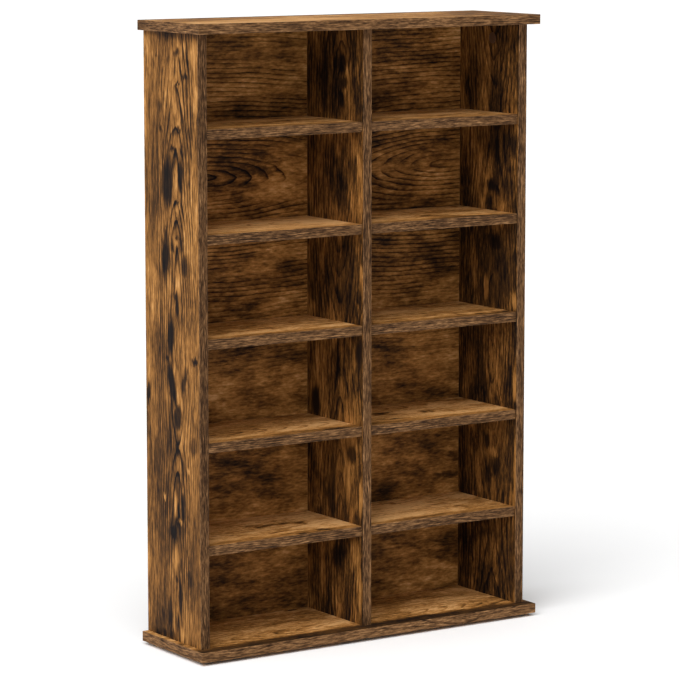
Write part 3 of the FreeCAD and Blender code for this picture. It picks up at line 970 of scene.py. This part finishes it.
DIVIDER_MARKS = marks(
    DARK,
    (342.9, 63.8, 3.3, 9.4, 1), (344.2, 82.6, 3.6, 5.4, 0.8), (341.5, 100, 2, 8, 0.8),
    (336.8, 58.5, 1.2, 12, 0.6), (325, 70, 3, 30, 0.5), (355, 170, 2.5, 14, 0.6),
    (338.2, 295.3, 2, 8, 0.8), (358.9, 299.3, 2.8, 8, 0.8), (332.1, 484.2, 4, 28, 0.7),
    (352.2, 454.7, 4.5, 8, 0.8), (336, 554, 3, 13, 0.8), (345, 280, 16, 34, 0.4),
) + marks(
    GOLD,
    # The golden strips at 360 and 361 across, along the front edge, are painted highlights where the light
    # reaches in.
    (346.2, 69.2, 1.8, 5, 0.5), (361, 273.8, 1.5, 10, 0.6), (346.9, 480, 3.5, 20, 0.5),
    (361, 500, 2, 22, 0.7), (356, 551, 4, 13, 0.4), (360, 590, 2.2, 25, 0.5),
)
RIGHT_MARKS = marks(
    DARK,
    (491.5, 184.3, 5, 6.6, 0.9), (513.7, 145.5, 3, 12, 0.8), (490, 201, 2.4, 6, 0.8),
    (495.7, 242.5, 7, 9, 0.9), (515, 257.7, 2.4, 9, 0.9), (502.6, 267.4, 7, 17, 0.7),
    (477.7, 243.9, 2, 14, 0.7), (487.2, 440.4, 2.8, 7, 0.9), (495.9, 465.8, 5, 9, 0.8),
    (487.9, 473.8, 3.2, 11, 0.8), (506, 560, 4, 14, 0.6), (497, 272, 16, 34, 0.4),
    (500, 470, 16, 34, 0.2), (508, 560, 12, 36, 0.3),
) + marks(
    GOLD,
    # The golden strips near 515 across, along the front edge, are painted highlights where the light reaches
    # in.
    (483.2, 203, 2.2, 9, 0.5), (486, 288.2, 2.4, 14, 0.5), (514.5, 302, 2.6, 9, 0.7),
    (493.2, 452.4, 4, 4, 0.5), (515.5, 467.1, 1.8, 34, 0.7), (514.6, 386.9, 2.4, 14, 0.6),
)
# The left side's rings: the heart's place in the picture, and the tips of the arches from the foot up
LEFT_HEART = 177.0
LEFT_TIPS = (
    (690, 0), (610, 1), (560, 1), (500, 1), (472, 1), (447, 1), (415, -1), (372, -1), (310, -1),
    (238, 1), (220, 1), (201.5, 1), (147, 1), (126, 1), (83, 1), (49, 1), (10, 1),
)
LEFT_RING = 5 * MM
LEFT_FIGURE = Figure(
    streak=Layer((200, 16, 80), 5, 0.66, 1.15),
    fibre=Layer((430, 60, 160), 3, 0.65, 1.00),
    char_strength=0.35,
    ring_dark=0.70,
    ring_wave=2 * MM,
    ring_reach=(70 * MM, 30 * MM),
    knot_share=1.0,
)
INNER_FIGURE = Figure(
    patch=Layer((24, 7, 40), 3, 0.62, 1.30),
    streak=Layer((200, 20, 80), 5, 0.66, 0.90),
    fibre=Layer((430, 70, 160), 3, 0.65, 0.85),
    ring_dark=0.30,
)
BACK_FIGURE = Figure(
    patch=Layer((22, 9, 40), 4, 0.66, 1.60),
    streak=Layer((120, 22, 80), 5, 0.68, 0.80),
    fibre=Layer((330, 90, 160), 3, 0.65, 0.80),
    char_strength=0.6,
    ring_dark=0.55,
    ring_reach=(400 * MM, 100 * MM),
    knot_share=1.0,
)
BAND_FIGURE = Figure(
    patch=Layer((50, 9, 60), 3, 0.60, 0.50),
    streak=Layer((420, 46, 90), 3, 0.62, 1.50),
    fibre=Layer((700, 110, 200), 3, 0.62, 1.20),
    char_strength=0.0,
    ring_dark=0.45,
    knot_share=0.97,
)
BACK_GROWTH = Growth(heart=0.70, depth=22 * MM, period=0.50, crest=-0.10)
BAND_GROWTH = Growth(heart=0.05, depth=50 * MM, swing=4 * MM, period=0.21, ring=3.6 * MM)
INNER_GROWTH = Growth(heart=SIDE_FRONT + 63 * MM)
INNER_CONTRAST = 1.15
TOP_GLOSS = 0.4
# The upright boards inside: crest, seed, lightness, far lift and marks. Their lightness is kept low, partly
# as painted shade of the compartments; the far lift takes that shade off the right side's outer face
INNER_BOARDS = {
    "centre_divider": (0.9, 11.3, 0.40, 0.0, DIVIDER_MARKS),
    "right_side_panel": (0.6, 19.7, 0.37, 0.16, RIGHT_MARKS),
}
# The bands: the board that each is glued to, and its lightness
BANDS = {
    "bottom_panel_edging": ("bottom_panel", 0.54),
    "divider_edging": ("centre_divider", 0.45),
    "left_side_edging": ("left_side_panel", 0.36),
    "right_side_edging": ("right_side_panel", 0.45),
    "shelf_edging": ("left_shelf_1", 0.45),
    "top_panel_edging": ("top_panel", 0.49),
}
FITTINGS = {
    BEECH: ("dowels",),
    ZINC: ("cam_locks",),
    STEEL: ("bolt", "screws"),
    BROWN: ("cam_covers",),
    GREY: ("glide",),
}


@dataclass(frozen=True)
class Series:
    """Numbers that rise by even steps, one for each board.

    Attributes:
        first: The first board's number.
        step: From one board's to the next.
    """

    first: float
    step: float

    def at(self, index: int) -> float:
        """The number of one board."""
        return self.first + self.step * index


# The level boards: hearts that begin again after some boards, steps of the crests, seeds and lightness. The
# shelves' lightness is raised, partly as painted light on tops that the lamps leave in shade
LEVEL_HEARTS = Series(20 * MM, 13 * MM)
LEVEL_HEART_COUNT = 9
LEVEL_CREST = 170 * MM
LEVEL_SEEDS = Series(29.0, 3.7)
LEVEL_LIGHTNESS = {
    "top_panel": 0.74,
    "bottom_panel": 0.76,
    "left_shelf_1": 0.92,
    # Painted light: this shelf's top lies in the left side's shadow.
    "left_shelf_4": 1.00,
    "right_shelf_1": 0.94,
}
SHELF_LIGHTNESS = 0.83
SHELF_SWING = 0.05
SHELF_TURN = 2.4
BAND_SEEDS = Series(101.0, 2.9)
LEFT_SEED = 3.1
BACK_SEED = 71.0


class Carcass:
    """The boards, their edge bands and the back."""

    def build(self) -> None:
        """Dresses every board and band."""
        self.dress_sides()
        self.dress_levels()
        self.dress_edging()
        self.dress_back()

    def dress_sides(self) -> None:
        """The two sides and the divider, with the grain upright."""
        heart = CAMERA.on_upright(OUTER_LEFT, LEFT_HEART, CAMERA.picture / 2)[0]
        places = [CAMERA.on_upright(OUTER_LEFT, LEFT_HEART, down)[1] for down, _ in LEFT_TIPS]
        tips = tuple((place, rise) for place, (_, rise) in zip(places, LEFT_TIPS))
        left = BoardOak(
            "oak_left_side", Grain.UPRIGHT, Growth(heart, LEFT_RING, ring=LEFT_RING, tips=tips), LEFT_SEED,
            face=OUTER_LEFT, marks=LEFT_MARKS, figure=LEFT_FIGURE,
        )
        dress("left_side_panel", left.make())
        for name, (crest, seed, lightness, far_unshade_lift, board_marks) in INNER_BOARDS.items():
            board = BoardOak(
                f"oak_{name}", Grain.UPRIGHT, replace(INNER_GROWTH, crest=crest), seed,
                face=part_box(name)[0].x, marks=board_marks, figure=INNER_FIGURE,
                lightness=lightness, far_unshade_lift=far_unshade_lift, contrast=INNER_CONTRAST,
            )
            dress(name, board.make())

    def level_marks(self, name: str) -> tuple[LevelMark, ...]:
        """The marks on a level board: dark wood along the top's and the bottom's edges, golden wood on the
        top, and painted shade along each shelf's front edge.

        Args:
            name: The board's node.

        Returns:
            Its marks.
        """
        low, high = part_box("top_panel")
        length = high.x * 2.0
        if name == "top_panel":
            return (
                LevelMark(DARK, high.y, 0.0, 14 * MM, length, 0.7),
                LevelMark(GOLD, low.y + 40 * MM, low.x * 0.6, 50 * MM, 150 * MM, 0.9),
                LevelMark(GOLD, low.y + 20 * MM, 0.0, 20 * MM, 90 * MM, 0.4),
                LevelMark(DARK, 0.0, high.x, 120 * MM, 90 * MM, 0.4),
            )
        if name == "bottom_panel":
            return (LevelMark(DARK, low.y + 6 * MM, 0.0, 22 * MM, length, 0.8),)
        # Painted shade along the shelf's front, where the light catches it.
        return (LevelMark(DARK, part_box(name)[0].y + 3 * MM, 0.0, 16 * MM, length, 0.35),)

    def dress_levels(self) -> None:
        """The top, the bottom and the shelves, with the grain along their length."""
        shelves = sorted(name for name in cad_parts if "_shelf_" in name)
        for index, name in enumerate(["top_panel", "bottom_panel", *shelves]):
            heart = SIDE_FRONT + LEVEL_HEARTS.at(index % LEVEL_HEART_COUNT)
            growth = Growth(heart, crest=LEVEL_CREST * index)
            lightness = SHELF_LIGHTNESS + SHELF_SWING * math.sin(SHELF_TURN * index)
            board = BoardOak(
                f"oak_{name}", Grain.LEVEL, growth, LEVEL_SEEDS.at(index),
                face=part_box(name)[1].z, marks=self.level_marks(name),
                lightness=LEVEL_LIGHTNESS.get(name, lightness),
                gloss=TOP_GLOSS if name == "top_panel" else BoardOak.gloss,
            )
            dress(name, board.make())

    def dress_edging(self) -> None:
        """The bands on the fronts of the boards, with the grain along each band."""
        first, second = (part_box(f"left_shelf_{row}") for row in (1, 2))
        for index, (name, (core, lightness)) in enumerate(BANDS.items()):
            level = "panel" in name or "shelf" in name
            low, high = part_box(core)
            grain, axis = (Grain.LEVEL_EDGE, "z") if level else (Grain.UPRIGHT_EDGE, "x")
            band = BandOak(
                f"oak_{name}", grain, BAND_GROWTH, BAND_SEEDS.at(index),
                shades=BAND_OAK, figure=BAND_FIGURE, lightness=lightness,
                middle=box_middle(core, axis),
                half=(getattr(high, axis) - getattr(low, axis)) / 2,
                pitch=second[0].z - first[0].z if "shelf" in name else BandOak.pitch,
                core_front=low.y,
                core_half=high.x if "panel" in name else BandOak.core_half,
            )
            dress(name, band.make())

    def dress_back(self) -> None:
        """The back panel, with the grain along the cabinet's width."""
        back = BackOak(
            "oak_back", Grain.BACK, BACK_GROWTH, BACK_SEED, figure=BACK_FIGURE,
            middle=box_middle("back_panel", "y"),
        )
        dress("back_panel", back.make())


class Fittings:
    """Dowels, locks, bolts, covers, screws and glides."""

    def build(self) -> None:
        """Dresses every fitting, by the words in its node's name."""
        for finish, words in FITTINGS.items():
            material = finish.make()
            for name in sorted(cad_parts):
                if any(word in name for word in words):
                    dress(name, material)


def grid_mesh(name: str, points: np.ndarray, material: Material) -> bpy.types.Object:
    """Makes a mesh from one or more grids of points, as quads between neighbours.

    Args:
        name: The piece's name.
        points: Points of shape (copies, rows, columns, 3), where the last column joins the first.
        material: Its finish.

    Returns:
        The new object, at the origin.
    """
    copies, rows, columns, _ = points.shape
    row, column = np.meshgrid(np.arange(rows - 1), np.arange(columns), indexing="ij")
    start, beside = row * columns + column, row * columns + (column + 1) % columns
    faces = np.stack([start, beside, beside + columns, start + columns], axis=-1).reshape(-1, 4)
    faces = (faces[None] + (np.arange(copies) * rows * columns)[:, None, None]).reshape(-1, 4)
    mesh = bpy.data.meshes.new(name)
    mesh.from_pydata(points.reshape(-1, 3), [], faces.tolist())
    mesh.materials.append(material)
    mesh.update()
    made = bpy.data.objects.new(name, mesh)
    bpy.context.scene.collection.objects.link(made)
    return made


@dataclass
class BackPins:
    """The small pins that hold the back panel, of which only the heads show.

    Attributes:
        head_radius: Radius of a head.
        head_height: How far a head stands out.
        head_rings: Rings of points from a head's rim to its middle.
        head_sides: Points round a head.
        in_row: Pins along the top and the bottom of each column.
    """

    head_radius: float = 1.7 * MM
    head_height: float = 0.35 * MM
    head_rings: int = 4
    head_sides: int = 12
    in_row: int = 3

    def places(self) -> np.ndarray:
        """Where the pins stand: in the middle of the boards behind the back panel.

        Returns:
            One row of (x, z) for each pin.
        """
        uprights = ("left_side_panel", "centre_divider", "right_side_panel")
        columns = [box_middle(name, "x") for name in uprights]
        shelves = sorted(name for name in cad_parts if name.startswith("left_shelf_"))
        levels = [box_middle(name, "z") for name in ("bottom_panel", *shelves, "top_panel")]
        spots = [(x, (low + high) / 2) for x in columns for low, high in zip(levels, levels[1:])]
        for left, right in zip(columns, columns[1:]):
            for index in range(self.in_row):
                x = left + (right - left) * (index + 0.5) / self.in_row
                spots += [(x, levels[0]), (x, levels[-1])]
        return np.array(spots)

    def build(self) -> None:
        """Builds all heads as one piece.

        A head is an arc turned about the pin's axis: its radius is the head's radius times the
        cosine of an angle, and it stands out by the head's height times the angle's sine.
        """
        spots = self.places()
        rise = np.linspace(0.0, math.pi / 2, self.head_rings)[:, None]
        around = np.linspace(0.0, -math.tau, self.head_sides, endpoint=False)[None, :]
        x = self.head_radius * np.cos(rise) * np.cos(around)
        z = self.head_radius * np.cos(rise) * np.sin(around)
        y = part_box("back_panel")[1].y + self.head_height * np.sin(rise)
        points = np.stack(np.broadcast_arrays(x, y, z), axis=-1)[None].repeat(len(spots), axis=0)
        points[..., 0] += spots[:, 0][:, None, None]
        points[..., 2] += spots[:, 1][:, None, None]
        heads = grid_mesh("back_pin_heads", points, STEEL.make())
        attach(heads, ROOT)
        LOG.info("built %s: %d pins", heads.name, len(spots))


@dataclass
class Studio:
    """Floor, soft light and camera.

    Attributes:
        floor_radius: Radius of the round floor.
        floor_hole: Root of the share of its radius that is open in the middle.
        floor_rings: Rings of points.
        floor_sides: Points in a ring.
        floor_shades: Its two whites.
        floor_mottling: How they mix.
        floor_rough: Its roughness.
        base_light: Light from everywhere.
        glows: Middle, power of the cosine and strength of each broad light.
        horizon: Light of the pale band round the horizon.
        horizon_span: Heights at which the band has ended and begins to fade, as sines.
    """

    floor_radius: float = 60.0
    floor_hole: float = 0.001
    floor_rings: int = 24
    floor_sides: int = 96
    floor_shades: tuple[Triple, Triple] = (printed(240, 240, 240), printed(243, 243, 243))
    floor_mottling: Layer = Layer((3, 3, 3), 2)
    floor_rough: float = 0.8
    base_light: float = 0.02
    glows: tuple[tuple[Triple, float, float], ...] = (
        ((-0.25, -0.25, 1.0), 4.0, 2.6),
        ((-0.85, -0.46, 0.75), 10.0, 4.85),
    )
    horizon: float = 1.0
    horizon_span: Pair = (0.13, 0.09)

    def build(self) -> None:
        """Builds the floor, the lights and the camera."""
        self.lay_floor()
        self.light_world()
        self.set_camera()

    def lay_floor(self) -> None:
        """A round pale floor: rings of points whose radius grows as the square of their number."""
        share = np.linspace(self.floor_hole, 1.0, self.floor_rings)[:, None]
        around = np.linspace(0.0, math.tau, self.floor_sides, endpoint=False)[None, :]
        x = self.floor_radius * share**2 * np.cos(around)
        y = self.floor_radius * share**2 * np.sin(around)
        points = np.stack(np.broadcast_arrays(x, y, 0.0), axis=-1)[None]
        recipe = Recipe(bpy.data.materials.new("pale_floor"))
        colour = recipe.mix(self.floor_mottling.noise(recipe, recipe.place()), *self.floor_shades)
        grid_mesh("floor", points, recipe.finish(colour, self.floor_rough, None, 0.0))

    def light_world(self) -> None:
        """Soft white light: an even base, a broad glow overhead and one from the left.

        Each glow is the cosine of the angle to its middle, raised to a power that sets its width.
        """
        recipe = Recipe(bpy.data.worlds.new("studio"))
        towards = recipe.node("ShaderNodeTexCoord").outputs["Generated"]
        height = recipe.parts(towards)[2].math("ABSOLUTE")
        light = height.step(*self.horizon_span, self.horizon) + self.base_light
        for middle, power, strength in self.glows:
            aim = tuple(np.array(middle) / np.linalg.norm(middle))
            glow = recipe.vector_number("DOT_PRODUCT", towards, aim).larger(0.0).math("POWER", power)
            light = glow * strength + light
        sky = recipe.node("ShaderNodeBackground", inputs={"Color": (1.0, 1.0, 1.0, 1.0), "Strength": light})
        recipe.node("ShaderNodeOutputWorld", inputs={0: sky.outputs[0]})
        bpy.context.scene.world = recipe.owner

    def set_camera(self) -> None:
        """Sets the camera that sees the cabinet as the photograph does."""
        camera = bpy.data.cameras.new("camera")
        camera.sensor_width = CAMERA.film
        camera.lens = CAMERA.focal_pixels / CAMERA.picture * CAMERA.film
        camera.clip_end = CAMERA.sight
        made = bpy.data.objects.new("camera", camera)
        made.location = CAMERA.eye
        made.rotation_euler = (math.radians(90.0 - CAMERA.tipped), 0.0, math.radians(-CAMERA.turned))
        bpy.context.scene.collection.objects.link(made)
        bpy.context.scene.camera = made


def main() -> None:
    """Builds and dresses everything in order."""
    logging.basicConfig(level=logging.INFO, format="%(name)s: %(message)s")
    bpy.context.scene.view_settings.view_transform = "Standard"
    for part in (Carcass(), Fittings(), BackPins(), Studio()):
        part.build()


if __name__ == "__main__":
    main()
